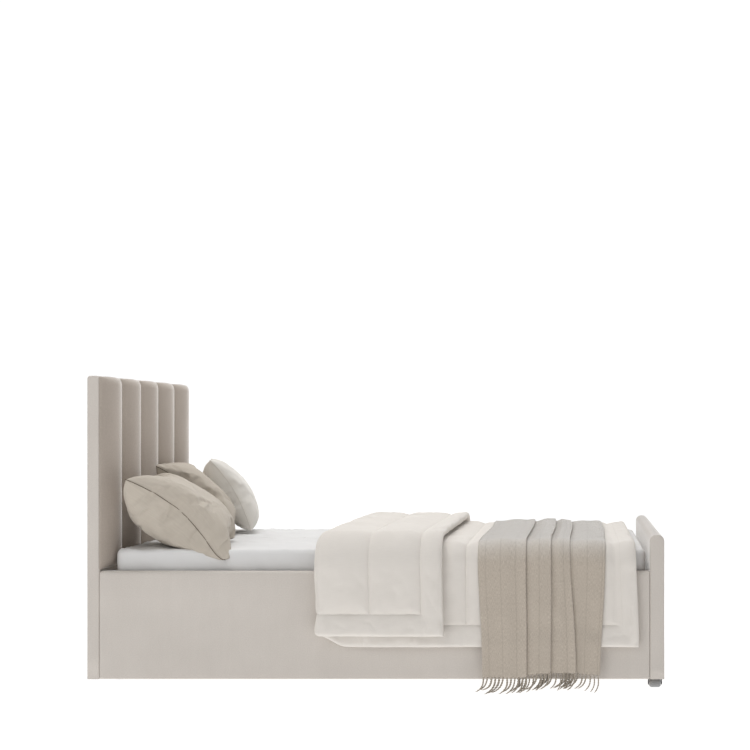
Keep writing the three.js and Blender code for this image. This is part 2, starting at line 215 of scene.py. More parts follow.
def melange_wool(stripe_every=0.045, twill_lines=320):
    """Mixed light and dark yarns in a fine twill, with darker thread lines. Where it faces up the colour is painted
    paler and greyer: painted light from above.
    """
    look = Finish("melange_wool")
    cloth = look.own_map()
    across, along, _ = look.parts(cloth)
    yarns = look.cloud(look.stretched(cloth, (900.0, 120.0, 1.0)), 1.0, 2.0)
    flecks = look.cloud(look.stretched(cloth, (480.0, 760.0, 1.0)), 1.0, 3.0, 0.7)
    twill = ((across + along) * (TURN * twill_lines)).wave()
    stripe = ((across * (math.pi / stripe_every)).wave().size()) ** 140.0
    shade = yarns * 0.8 + flecks + twill * 0.05 - 0.4
    hanging = look.between(shade, (0.27, 0.215, 0.16), (0.80, 0.725, 0.635))
    # painted light: a paler, greyer copy of the yarn colours, blended in on the up-facing tops
    painted_light_top = look.between(shade, (0.50, 0.475, 0.44), (0.93, 0.905, 0.87))
    colour = look.between(look.facing_up() ** 2.0 * 0.65, hanging, painted_light_top)
    striped = look.between(stripe * 0.15, colour, (0.17, 0.135, 0.10))
    bump = look.bump(twill * 0.5 + yarns + flecks - stripe * 0.7, 0.5, 0.0009)
    return look.finish(
        Base_Color=striped, Roughness=0.95, Sheen_Weight=1.0, Sheen_Roughness=0.42,
        Sheen_Tint=(1.0, 0.99, 0.98, 1.0), Specular_IOR_Level=0.15, Normal=bump,
    )


def wood(name, dark, light, along=(1.0, 14.0, 14.0), grain=9.0):
    look = Finish(name)
    place = look.stretched(look.place(), along)
    rings = look.cloud(place, grain, 4.0, 0.6)
    fibres = look.cloud(look.stretched(place, (1.0, 9.0, 9.0)), grain * 4, 2.0)
    colour = look.between(rings * 0.7 + fibres * 0.3, dark, light)
    bump = look.bump(fibres, 0.2, 0.0004)
    return look.finish(Base_Color=colour, Roughness=0.55 + fibres * 0.15, Coat_Weight=0.1, Normal=bump)


def chipboard():
    look = Finish("chipboard")
    chips = look.cloud(look.place(), 260.0, 3.0, 0.7)
    colour = look.between(chips, (0.34, 0.24, 0.14), (0.72, 0.58, 0.40))
    return look.finish(Base_Color=colour, Roughness=0.85, Normal=look.bump(chips, 0.3, 0.0006))


def hard(name, colour, roughness, metallic=0.0, spread=0.12, scale=60.0, relief=0.05):
    """Metal or plastic with faint wear: patches of roughness and a slight change of shade."""
    look = Finish(name)
    patches = look.cloud(look.place(), scale, 4.0)
    darker = tuple(c * (1 - spread) for c in colour)
    shade = look.between(patches, darker, colour)
    return look.finish(
        Base_Color=shade, Roughness=patches * 0.2 + (roughness - 0.1), Metallic=metallic,
        Normal=look.bump(look.cloud(look.place(), scale * 8, 2.0), relief, 0.0003),
    )


VELVET = velvet("greige_velvet", (0.52, 0.478, 0.435), (0.74, 0.69, 0.64))
# The channel pads use the frame's own velvet made darker and warmer: painted shade for the headboard face, which
# gets less light.
PAD_VELVET_PAINTED_SHADE = velvet("greige_velvet_pads", (0.33, 0.285, 0.245), (0.56, 0.49, 0.43))
QUILT = plain_weave("cream_cotton", (0.70, 0.655, 0.605), (0.84, 0.80, 0.75), 700.0, 0.18)
SHEET = plain_weave("white_percale", (0.70, 0.695, 0.69), (0.82, 0.815, 0.81), 900.0, 0.10)
TICKING = plain_weave("knitted_ticking", (0.70, 0.70, 0.69), (0.86, 0.855, 0.845), 260.0, 0.35)
BEIGE_LINEN = plain_weave(
    "beige_linen", (0.44, 0.39, 0.33), (0.64, 0.58, 0.50), 420.0, 0.35, slub=0.45, creased=0.5)
PALE_LINEN = plain_weave(
    "pale_linen", (0.72, 0.69, 0.64), (0.88, 0.85, 0.80), 420.0, 0.30, slub=0.45, creased=0.45)
SEAM_THREAD = hard("linen_seam", (0.19, 0.155, 0.12), 0.9, spread=0.3, scale=700.0)
WOOL = melange_wool()
THREAD = hard("cotton_thread", (0.74, 0.70, 0.64), 0.8, spread=0.2, scale=900.0)
WOOL_CORD = hard("wool_cord", (0.56, 0.495, 0.415), 0.95, spread=0.45, scale=420.0, relief=0.6)
BIRCH = wood("birch_slat", (0.52, 0.37, 0.21), (0.78, 0.62, 0.42), (14.0, 1.0, 14.0))
PINE = wood("planed_pine", (0.50, 0.34, 0.18), (0.76, 0.58, 0.36))
BOARD = chipboard()
ZINC = hard("zinc_steel", (0.62, 0.63, 0.65), 0.35, 1.0, scale=140.0)
BLACK_STEEL = hard("black_powder_coat", (0.022, 0.022, 0.024), 0.5, 0.1, 0.3, 500.0, 0.25)
BLACK_NYLON = hard("black_nylon", (0.03, 0.03, 0.032), 0.6, 0.0, 0.3, 300.0, 0.15)
GREY_TREAD = hard("grey_tread", (0.36, 0.365, 0.37), 0.6, 0.0, 0.25, 120.0, 0.15)


# ------------------------------------------------------------------ mesh helpers
def make_piece(name, points, faces, material, maps=None):
    """A smooth mesh at the origin. maps holds (u, v) in metres for each point, if the cloth has a map."""
    mesh = bpy.data.meshes.new(name)
    mesh.from_pydata([tuple(p) for p in points], [], [tuple(int(i) for i in f) for f in faces])
    if maps is not None:
        layer = mesh.uv_layers.new(name="cloth")
        corners = np.zeros(len(mesh.loops), dtype=np.int32)
        mesh.loops.foreach_get("vertex_index", corners)
        layer.data.foreach_set("uv", np.asarray(maps, dtype=np.float32)[corners].ravel())
    mesh.materials.append(material)
    mesh.polygons.foreach_set("use_smooth", [True] * len(mesh.polygons))
    mesh.update()
    piece = bpy.data.objects.new(name, mesh)
    bpy.context.scene.collection.objects.link(piece)
    return piece


def face_out(piece, merge=0.0):
    """Turns every face of a closed mesh outwards, once points nearer than merge are joined."""
    work = bmesh.new()
    work.from_mesh(piece.data)
    if merge:
        bmesh.ops.remove_doubles(work, verts=work.verts, dist=merge)
    bmesh.ops.recalc_face_normals(work, faces=work.faces)
    work.to_mesh(piece.data)
    work.free()
    return piece


def quads(rows, columns, start=0, flip=False):
    """The quads of a grid of points numbered row by row from start."""
    corner = start + np.arange((rows - 1) * columns).reshape(rows - 1, columns)[:, :-1].ravel()
    faces = np.stack([corner, corner + 1, corner + columns + 1, corner + columns], axis=1)
    return faces[:, ::-1] if flip else faces


def tube(rings, count, closed=False):
    """The quads between rings of count points each. If closed, the last ring joins the first."""
    return [(r * count + i, r * count + (i + 1) % count,
             (r + 1) % rings * count + (i + 1) % count, (r + 1) % rings * count + i)
            for r in range(rings if closed else rings - 1) for i in range(count)]


def grid_edge(rows, columns):
    """The border of a grid as point numbers, once round."""
    top = [*range(columns)]
    right = [r * columns + columns - 1 for r in range(1, rows)]
    bottom = [(rows - 1) * columns + c for c in range(columns - 2, -1, -1)]
    left = [r * columns for r in range(rows - 2, 0, -1)]
    return top + right + bottom + left


def two_faced(name, outer, inner, material, maps):
    """A closed cloth from two grids of points, stitched together round the border."""
    rows, columns = outer.shape[:2]
    count = rows * columns
    edge = grid_edge(rows, columns)
    rim = [(a, b, b + count, a + count) for a, b in zip(edge, edge[1:] + edge[:1])]
    faces = np.concatenate([quads(rows, columns), quads(rows, columns, count, True), rim])
    points = np.concatenate([outer.reshape(-1, 3), inner.reshape(-1, 3)])
    both = np.concatenate([maps.reshape(-1, 2), maps.reshape(-1, 2)])
    return face_out(make_piece(name, points, faces, material, both))


def apply_modifiers(piece):
    """Replaces the piece's mesh by its evaluated one and removes its modifiers."""
    graph = bpy.context.evaluated_depsgraph_get()
    mesh = bpy.data.meshes.new_from_object(piece.evaluated_get(graph))
    piece.modifiers.clear()
    piece.data = mesh
    return piece


def give_wall(piece, wall):
    """Thickens a shell inwards."""
    thickness = piece.modifiers.new("wall", "SOLIDIFY")
    thickness.thickness = wall
    thickness.offset = -1
    return apply_modifiers(piece)


def belongs(piece, node=None):
    """Puts a piece on the frame's body, in place of a CAD node if one is named."""
    if node:
        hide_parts(node)
    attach(piece, "frame")


def soft_noise(x, y, z, scale):
    """Smooth noise from -1 to 1 at one place."""
    return noise.noise(Vector((x, y, z)) * scale)


def noise_field(xs, ys, scale, seed, octaves=2):
    """Smooth noise over arrays of two coordinates."""
    start = Vector((seed, 0, seed * 0.37))
    values = [noise.fractal(Vector((a, b, 0.0)) * scale + start, 0.6, 2.0, octaves)
              for a, b in zip(np.ravel(xs), np.ravel(ys))]
    return np.array(values).reshape(np.shape(xs))


def smooth(value, low, high):
    """0 below low, 1 above high and an even rise between."""
    t = np.clip((value - low) / (high - low), 0, 1)
    return t * t * (3 - 2 * t)


# ------------------------------------------------------------------ upholstered boards
COVER_WALL = 0.0045


def rounded_section(x0, x1, z0, z1, radius, steps=7):
    """An open outline in X and Z that goes up one face, over a rounded top and down the other."""
    turn = np.linspace(0, math.pi / 2, steps)
    left = [(x0, z) for z in np.linspace(z0, z1 - radius, 14)[:-1]]
    first = [(x0 + radius - radius * math.cos(a), z1 - radius + radius * math.sin(a)) for a in turn]
    last = [(x0 + x1 - x, z) for x, z in reversed(left + first)]
    return np.array(left + first + last)


def inset(outline, distance):
    """The outline moved inwards, with its two open ends kept level."""
    ahead = np.gradient(outline, axis=0)
    normal = np.stack([ahead[:, 1], -ahead[:, 0]], axis=1)
    normal /= np.linalg.norm(normal, axis=1, keepdims=True)
    normal[0], normal[-1] = (1, 0), (-1, 0)
    return outline + normal * distance


def covered_board(name, lo, hi, top_radius, edge_radius, material):
    """A board's cover: fabric over both faces, the top and both ends, open below where the board shows."""
    outline = rounded_section(lo.x, hi.x, lo.z, hi.z, top_radius)
    turn = np.linspace(0, math.pi / 2, 6)
    ends = [(edge_radius * (1 - math.cos(a)), edge_radius * (1 - math.sin(a))) for a in turn]
    middle = [(y, 0.0) for y in np.linspace(lo.y + edge_radius, hi.y - edge_radius, 90)[1:-1]]
    near = [(lo.y + depth, move) for depth, move in ends]
    far = [(hi.y - depth, move) for depth, move in reversed(ends)]
    points = np.array([
        [(x, y, z) for x, z in inset(outline, move)] for y, move in near + middle + far
    ])
    rows, columns = points.shape[:2]
    faces = list(quads(rows, columns))
    for row in (0, rows - 1):
        base = row * columns
        faces += [(base + i, base + i + 1, base + columns - 2 - i, base + columns - 1 - i)
                  for i in range(columns // 2 - 1)]
    return give_wall(face_out(make_piece(name, points.reshape(-1, 3), faces, material)), COVER_WALL)


channel_pad = {
    "proud": 0.008,  # how far its middle stands past its own box
    "roll": 0.026,  # radius at its top
    "seam": 0.0012,  # padding left at a seam
    "skin": 0.0010,
    "pucker": 0.0011,  # height of the fine puckers beside a seam
    "ease": 0.0009,  # height of the soft swells on its middle
    "sunk": 0.0035,  # how far the top dips at a seam
}


def channel(name, lo, hi, index):
    """One padded upright channel: full in the middle, drawn in at its seams and rolled over at the top."""
    across = (1 - np.cos(np.linspace(0, math.pi, 53))) / 2
    roll = channel_pad["roll"]
    upright = np.linspace(lo.z, hi.z - roll, 90)
    crown = np.sin(np.linspace(0, math.pi / 2, 14))[1:] * roll + hi.z - roll
    heights = np.concatenate([upright, crown])
    over = np.clip((heights - (hi.z - roll)) / roll, 0, 1)
    fullness = np.sqrt(np.clip(1 - over ** 2, 0, 1)) * 0.97 + 0.03
    fullness[:4] = [0.25, 0.62, 0.85, 0.96]
    pad = np.clip(np.sin(math.pi * across), 0, 1) ** 0.66
    depth = hi.x - lo.x + channel_pad["proud"] - channel_pad["seam"] - channel_pad["skin"]
    rows, columns = len(heights), len(across)
    points = np.zeros((rows, columns, 3))
    seam_depth, pucker_height, ease_height = [channel_pad[key] for key in ("seam", "pucker", "ease")]
    for r, (z, full) in enumerate(zip(heights, fullness)):
        for c, (t, rise) in enumerate(zip(across, pad)):
            y = lo.y + (hi.y - lo.y) * t
            near_seam = math.exp(-min(t, 1 - t) * 26)
            pucker = soft_noise(index * 3.1, y, z, 38.0) * near_seam * pucker_height
            ease = soft_noise(y, index * 2.0, z, 5.0) * ease_height * rise
            x = lo.x + seam_depth + depth * full * rise + (pucker + ease) * full
            points[r, c] = (x, y, z - channel_pad["sunk"] * (1 - rise) * over[r] ** 2)
    back = points.copy()
    back[:, :, 0] = lo.x
    faces = [*quads(rows, columns), *quads(rows, columns, rows * columns, True)]
    edge = grid_edge(rows, columns)
    faces += [(a, b, b + rows * columns, a + rows * columns) for a, b in zip(edge, edge[1:] + edge[:1])]
    # The pads take the darker velvet copy, which paints shade on them.
    return face_out(make_piece(name, np.concatenate([points, back]).reshape(-1, 3), faces, PAD_VELVET_PAINTED_SHADE))


def rail_cover(name, lo, hi, side):
    """A side rail's cover: round the outer face, over the top and under the bottom, tacked on the inside."""
    outer, inner = (lo.y, hi.y) if side < 0 else (hi.y, lo.y)
    wall, top_radius, low_radius, end_radius = COVER_WALL, 0.011, 0.005, 0.004
    turn = np.linspace(0, math.pi / 2, 7)
    face = [(inner, lo.z + wall), (inner, lo.z)]
    face += [(outer - side * low_radius * (1 - math.sin(a)), lo.z + low_radius * (1 - math.cos(a)))
             for a in turn]
    face += [(outer, z) for z in np.linspace(lo.z + low_radius, hi.z - top_radius, 12)[1:-1]]
    face += [(outer - side * top_radius * (1 - math.cos(a)), hi.z - top_radius + top_radius * math.sin(a))
             for a in turn]
    face += [(inner, hi.z), (inner, hi.z - wall)]
    back = [(outer - side * wall, hi.z - wall), (outer - side * wall, lo.z + wall)]
    section = np.array(face + back)
    middle_z = (lo.z + hi.z) / 2
    ends = [(end_radius * (1 - math.cos(a)), end_radius * (1 - math.sin(a))) for a in turn]
    places = [(lo.x + depth, move) for depth, move in ends]
    places += [(x, 0.0) for x in np.linspace(lo.x + end_radius, hi.x - end_radius, 140)[1:-1]]
    places += [(hi.x - depth, move) for depth, move in reversed(ends)]
    points = []
    for x, move in places:
        for number, (y, z) in enumerate(section):
            drawn = move if 2 <= number < len(face) - 2 else 0.0
            at_edge = abs(z - middle_z) > (hi.z - lo.z) / 2 - 0.012
            lifted = move * np.sign(middle_z - z) * at_edge * 0.6
            points.append((x, y - side * drawn, z + (lifted if drawn else 0.0)))
    count = len(section)
    rings = len(places)
    faces = [*tube(rings, count), tuple(range(count)), tuple(range((rings - 1) * count, rings * count))]
    return face_out(make_piece(name, points, faces, VELVET))


# ------------------------------------------------------------------ the shape that bedding hangs over
bend = 0.046
flat_half = half_width + 0.002 - bend
rest_z = bed_top + 0.001
turn_length = bend * math.pi / 2


def over_bed(reach, offset):
    """(y, z) at `reach` along the cloth from the bed's middle line, negative on the near side, and `offset` out."""
    size = np.abs(reach)
    side = np.sign(reach)
    angle = np.clip((size - flat_half) / bend, 0, math.pi / 2)
    drop = np.clip(size - flat_half - turn_length, 0, None)
    y = np.minimum(size, flat_half) + (bend + offset) * np.sin(angle)
    z = rest_z - bend + (bend + offset) * np.cos(angle) - drop
    return side * y, z


def reach_of(height):
    """The arc length at which a hanging cloth comes down to a height above the floor."""
    return flat_half + turn_length + (rest_z - bend - height)


# ------------------------------------------------------------------ quilt
quilt = {
    "border": 0.065,  # from its edge to the sewn line all round
    "channel": 0.1533,
    "plump": 0.0125,  # half its thickness between seams
    "flat": 0.0016,  # half its thickness at a seam
    "swell": 0.062,  # distance from a seam to its full thickness
    "low": 0.0115,  # from the bed to the middle of its lower layer
    "loop": 0.0165,  # radius of the fold
    "loop_ease": 0.008,
    "back": 0.382,  # where the folded part ends, along the bed
    "hem": quilt_lo.z,
    "lifted": 0.037,  # how much higher the folded part's near hem hangs
    "slack": 0.0050,  # waves down the sides
    "swells": 0.0045,  # soft rises on top
    "pucker": 0.0011,
}
loop_x = quilt_lo.x + quilt["loop"] + quilt["loop_ease"]
lower_length = quilt_hi.x - loop_x
loop_length = math.pi * quilt["loop"]
quilt_length = lower_length + loop_length + quilt_lo.x + quilt["back"] - loop_x
quilt_half = reach_of(quilt["hem"])
seam_places = [quilt_length - quilt["border"] - quilt["channel"] * n for n in range(9)]


def quilt_lift(x, reach):
    """How far both layers stand off the bed: slack waves, growing down the sides."""
    hang = smooth(np.abs(reach), flat_half, quilt_half)
    shift = np.where(reach < 0, 0.0, 1.7)
    waves = np.sin(x * 17.0 + shift) * 0.5 + np.sin(x * 39.0 + shift * 2 + 1.1) * 0.25 + 0.6
    calm = noise_field(x, reach, 3.2, 4.0)
    down, on_top = quilt["slack"] * waves * hang ** 1.4, quilt["swells"] * (calm * 0.5 + 0.5) * (1 - hang)
    return 0.0015 + down + on_top


def quilt_puff(along, across):
    """Half the quilt's thickness: drawn in at every seam and at its edges, full between them."""
    from_edge = np.minimum(np.minimum(along, quilt_length - along), quilt_half - np.abs(across))
    past_end = np.maximum(quilt["border"] - along, along - quilt_length + quilt["border"])
    past_side = np.abs(across) - quilt_half + quilt["border"]
    outside = np.hypot(np.clip(past_end, 0, None), np.clip(past_side, 0, None))
    inside = np.maximum(past_end, past_side) < 0
    from_seam = np.where(inside, -np.maximum(past_end, past_side), outside)
    for place in seam_places[1:-1]:
        from_seam = np.where(inside, np.minimum(from_seam, np.abs(along - place)), from_seam)
    rise = 1 - np.clip(1 - from_seam / quilt["swell"], 0, 1) ** 2
    crumple = noise_field(along, across, 9.0, 11.0, 3)
    creases = (1 - np.abs(noise_field(along * 1.5, across * 0.8, 13.0, 19.0, 2))) ** 7
    plump = quilt["plump"] * (1 + 0.30 * crumple - 0.22 * creases)
    half = quilt["flat"] + (plump - quilt["flat"]) * rise ** 0.62
    pucker = noise_field(along, across, 48.0, 23.0, 2) * np.exp(-from_seam / 0.013)
    half += quilt["pucker"] * pucker
    rim = np.sqrt(np.clip(1 - (1 - np.clip(from_edge / 0.014, 0, 1)) ** 2, 0, 1))
    return np.maximum(half * (0.25 + 0.75 * rim), 0.0012)


def quilt_middle(along):
    """(x, height, way in x, way in height) of the quilt's middle layer, from the foot edge round the fold."""
    past = np.clip((along - lower_length) / quilt["loop"], 0, math.pi)
    beyond = np.clip(along - lower_length - loop_length, 0, None)
    x = np.where(along < lower_length, quilt_hi.x - along, loop_x - quilt["loop"] * np.sin(past) + beyond)
    height = quilt["low"] + quilt["loop"] * (1 - np.cos(past))
    return x, height, np.sin(past), np.cos(past)


def quilt_point(along, across, side):
    """Points on the quilt: side 1 is the face turned inwards at the fold, -1 the other one, 0 the middle."""
    x, height, way_x, way_up = quilt_middle(along)
    folded = smooth(along, lower_length - 0.07, lower_length + 0.03)
    near_lift = quilt["lifted"] * folded
    hanging = smooth(np.abs(across), flat_half, quilt_half)
    flared = 0.009 * (1 - smooth(along, 0.0, 0.35)) * hanging
    skew = 0.006 * np.sin(across * 5.0) * folded + flared
    reach = across + near_lift
    half = quilt_puff(along, across)
    limit = np.where((side * way_up < 0) & (along < lower_length + 0.01), quilt["low"] - 0.0006, 1.0)
    push = side * np.minimum(half, limit)
    lift = quilt_lift(x, reach)
    y, z = over_bed(reach, height + lift + push * way_up)
    return np.stack([x + skew + push * way_x, y, z], axis=-1)


def near_lines(lines, reach, steps):
    """Sample places over a length: close together at each line and wider apart between lines."""
    places = {0.0, reach}
    for line in lines:
        places.update(line + sign * step for step in steps for sign in (-1, 1))
    return np.array(sorted(p for p in places if 0 <= p <= reach))


def thinned(places, gap):
    """The places without any that lies nearer than gap to the one before it. The last one stays."""
    kept = [places[0]]
    for place in places[1:]:
        if place - kept[-1] >= gap:
            kept.append(place)
    kept[-1] = places[-1]
    return np.array(kept)


def make_quilt():
    steps = [0, 0.0016, 0.004, 0.0075, 0.012, 0.018, 0.026, 0.035, 0.045, 0.056, 0.067, 0.0767]
    along = thinned(near_lines([0, *seam_places, quilt_length], quilt_length, steps), 0.0014)
    edges = [0, quilt["border"], 2 * quilt_half - quilt["border"], 2 * quilt_half]
    across = near_lines(edges, 2 * quilt_half, steps[:10])
    across = np.concatenate([across, np.arange(0.12, 2 * quilt_half - 0.12, 0.0085)])
    across = thinned(np.sort(across), 0.0014)
    rows, columns = np.meshgrid(along, across - quilt_half, indexing="ij")
    maps = np.stack([rows, columns], axis=-1)
    shown = quilt_point(rows, columns, -1)
    hidden = quilt_point(rows, columns, 1)
    piece = two_faced("quilt", shown, hidden, QUILT, maps)
    belongs(piece, "duvet")


def seam_lines():
    """The stitched lines as points on both faces of the quilt."""
    lines = []
    step = 0.006
    inner = quilt_half - quilt["border"]
    across = np.arange(-inner, inner, step)
    along = np.arange(quilt["border"], quilt_length - quilt["border"], step)
    for place in seam_places:
        lines += [quilt_point(np.full_like(across, place), across, side) for side in (-1, 1)]
    for edge in (-inner, inner):
        lines += [quilt_point(along, np.full_like(along, edge), side) for side in (-1, 1)]
    return lines


# ------------------------------------------------------------------ throw
throw = {
    "thick": 0.0026,
    "layer": 0.0046,  # from one layer of a pleat to the next
    "tuck": 0.024,  # how deep a pleat is folded under
    "hem": throw_lo.z,
    "clear": 0.0012,  # from the quilt's face on top of the bed
    "clear_down": 0.0022,  # and so much more down the sides
    "wave": 0.0050,  # folds down the sides
    "crumple": 0.003,
    "flare": 0.026,  # how far the last near pleat swings to the foot at its hem
    "drawn": 0.014,  # how much shorter the throw hangs beyond its first panel
}
pleats = [0.452, 0.527, 0.583]  # where each fold lies, along the bed
throw_half = reach_of(throw["hem"])


def throw_profile(panel_steps=30):
    """Points (along the bed, height) across the throw's width, with its pleats folded under."""
    left, right = throw_lo.x, throw_hi.x
    stops = [left, *pleats, right]
    tuck, layer = throw["tuck"], throw["layer"]
    half_turn = layer / 2
    bends = [(half_turn * math.sin(a), half_turn * math.cos(a)) for a in np.linspace(0, math.pi, 7)[1:-1]]
    points = []
    for number, (start, end) in enumerate(zip(stops, stops[1:])):
        begin = start - tuck if number else start
        last = number == len(stops) - 2
        for x in np.linspace(begin, end, panel_steps):
            rise = 0 if last else smooth(x, start + 0.006, max(start + 0.03, end - tuck - 0.006))
            points.append((x, 2 * layer * rise))
        if not last:
            points += [(end + out, 1.5 * layer + up) for out, up in bends]
            points += [(x, layer) for x in np.linspace(end, end - tuck, 6)]
            points += [(end - tuck - out, half_turn + up) for out, up in bends]
    return np.array(points)


def throw_grids():
    """The throw's two faces as grids of points, their map, the layer between them and its flat width."""
    profile = throw_profile()
    reach = np.linspace(-throw_half, throw_half, 230)
    rows, _ = np.meshgrid(reach, profile[:, 0], indexing="ij")
    depth = smooth(np.abs(rows), flat_half + 0.02, throw_half)
    near = np.where(rows < 0, 1.0, 0.0)
    x = profile[:, 0][None, :] + np.zeros_like(rows)
    share = (x - throw_lo.x) / (throw_hi.x - throw_lo.x)
    flare = throw["flare"] * np.exp(-((x - 0.585) / 0.035) ** 2) * near
    x = x + depth * (0.010 - 0.030 * share) + depth * flare
    x = x + 0.004 * np.sin(rows * 6.0 + 1.0) * (1 - depth)
    over = np.clip(np.abs(rows), 0, quilt_half)
    along = quilt_hi.x - np.clip(x, 0, quilt_hi.x)
    half = quilt_puff(along, over * np.sign(rows) * 0.97)
    lift = quilt_lift(x, over * np.sign(rows))
    below = np.clip(np.abs(rows) - quilt_half + 0.05, 0, 0.14)
    base = quilt["low"] + lift + half + throw["clear"] + throw["clear_down"] * depth
    for _ in range(6):
        base[:, 1:-1] = np.maximum(base[:, 1:-1], (base[:, :-2] + base[:, 2:]) / 2)
        base[1:-1] = np.maximum(base[1:-1], (base[:-2] + base[2:]) / 2)
    folds = np.sin(x * 88.0 + 2.0 * np.sin(rows * 2.5)) * 0.5 + np.sin(x * 47.0 + rows * 3.0) * 0.5 + 0.75
    wave = folds * throw["wave"] * depth ** 1.3
    crumple = (noise_field(x, rows, 11.0, 31.0) * 0.5 + 0.5) * throw["crumple"]
    offset = base + profile[:, 1][None, :] + wave + crumple - below * 0.05
    shorter = throw["drawn"] * smooth(x, 0.42, 0.50) * (1 - 0.5 * smooth(x, 0.58, 0.66))
    reach_end = throw_half - 0.004 - shorter
    scaled = rows * reach_end / throw_half
    step_x, step_h = np.gradient(x, axis=1), np.gradient(offset, axis=1)
    span = np.hypot(step_x, step_h)
    way_x, way_h = -step_h / span, step_x / span
    faces = []
    for side in (1, -1):
        push = side * throw["thick"] / 2
        y, z = over_bed(scaled, offset + push * way_h)
        faces.append(np.stack([x + push * way_x, y, z], axis=-1))
    width = np.concatenate([[0], np.cumsum(np.hypot(*np.diff(profile, axis=0).T))])
    maps = np.stack([np.broadcast_to(width, rows.shape), rows], axis=-1)
    middle = (faces[0] + faces[1]) / 2
    return faces, maps, middle, float(width[-1])


def hem_points(edge, first=0.004, gap=0.0118):
    """Evenly spaced points along the hem, where the tassels are tied."""
    step = np.concatenate([[0], np.cumsum(np.linalg.norm(np.diff(edge, axis=0), axis=1))])
    places = np.arange(first, step[-1], gap)
    return np.stack([np.interp(places, step, edge[:, axis]) for axis in range(3)], axis=1)


# ------------------------------------------------------------------ patterns made by Geometry Nodes
class Pattern(Tree):
    """A Geometry Nodes tree with named sizes, from a path to realised copies in one material."""

    def __init__(self, name, sizes):
        group = bpy.data.node_groups.new(name, "GeometryNodeTree")
        group.interface.new_socket("Path", in_out="INPUT", socket_type="NodeSocketGeometry")
        for label, (kind, value) in sizes.items():
            socket = group.interface.new_socket(label, in_out="INPUT", socket_type=f"NodeSocket{kind}")
            if kind != "Material":
                socket.default_value = value
        group.interface.new_socket("Result", in_out="OUTPUT", socket_type="NodeSocketGeometry")
        super().__init__(group)
        self.sizes = sizes
        self.start = group.nodes.new("NodeGroupInput")

    def given(self, label):
        return Signal(self, self.start.outputs[label])

    def end(self, copies):
        real = self.add("GeometryNodeRealizeInstances", inputs={0: copies})
        painted = self.add("GeometryNodeSetMaterial", inputs={
            "Geometry": real, "Material": self.given("Material"),
        })
        self.add("NodeGroupOutput", inputs={"Result": painted})

    def make(self, name, path):
        """Runs the tree on a path object, and turns the result into a plain mesh object."""
        modifier = path.modifiers.new("pattern", "NODES")
        modifier.node_group = self.node_tree
        for item in self.node_tree.interface.items_tree:
            if item.in_out == "INPUT" and item.name in self.sizes:
                modifier[item.identifier] = self.sizes[item.name][1]
        graph = bpy.context.evaluated_depsgraph_get()
        mesh = bpy.data.meshes.new_from_object(path.evaluated_get(graph))
        bpy.data.objects.remove(path)
        mesh.polygons.foreach_set("use_smooth", [True] * len(mesh.polygons))
        piece = bpy.data.objects.new(name, mesh)
        bpy.context.scene.collection.objects.link(piece)
        return piece


def path_object(name, lines):
    """Polylines as one mesh of edges."""
    points, edges = [], []
    for line in lines:
        start = len(points)
        points += [tuple(p) for p in line]
        edges += [(start + i, start + i + 1) for i in range(len(line) - 1)]
    mesh = bpy.data.meshes.new(name)
    mesh.from_pydata(points, edges, [])
    holder = bpy.data.objects.new(name, mesh)
    bpy.context.scene.collection.objects.link(holder)
    return holder


def stitch_pattern(name, pitch, length, radius, material):
    """Short rounded threads along every line, laid end to end with a gap."""
    tree = Pattern(name, {
        "Pitch": ("Float", pitch), "Length": ("Float", length), "Radius": ("Float", radius),
        "Material": ("Material", material),
    })
    curve = tree.add("GeometryNodeMeshToCurve", inputs={0: tree.given("Path")})
    points = tree.add("GeometryNodeCurveToPoints", {"mode": "LENGTH"},
                      {"Curve": curve, "Length": tree.given("Pitch")})
    tangent = Signal(tree, points.socket.node.outputs["Tangent"])
    turn = tree.add("FunctionNodeAlignRotationToVector", {"axis": "Z"}, {"Vector": tangent})
    thread = tree.add("GeometryNodeMeshUVSphere", inputs={"Segments": 6, "Rings": 5, "Radius": 0.5})
    size = tree.add("ShaderNodeCombineXYZ", inputs={
        "X": tree.given("Radius") * 2, "Y": tree.given("Radius") * 2, "Z": tree.given("Length"),
    })
    copies = tree.add("GeometryNodeInstanceOnPoints", inputs={
        "Points": points, "Instance": thread, "Rotation": turn, "Scale": size,
    })
    tree.end(copies)
    return tree


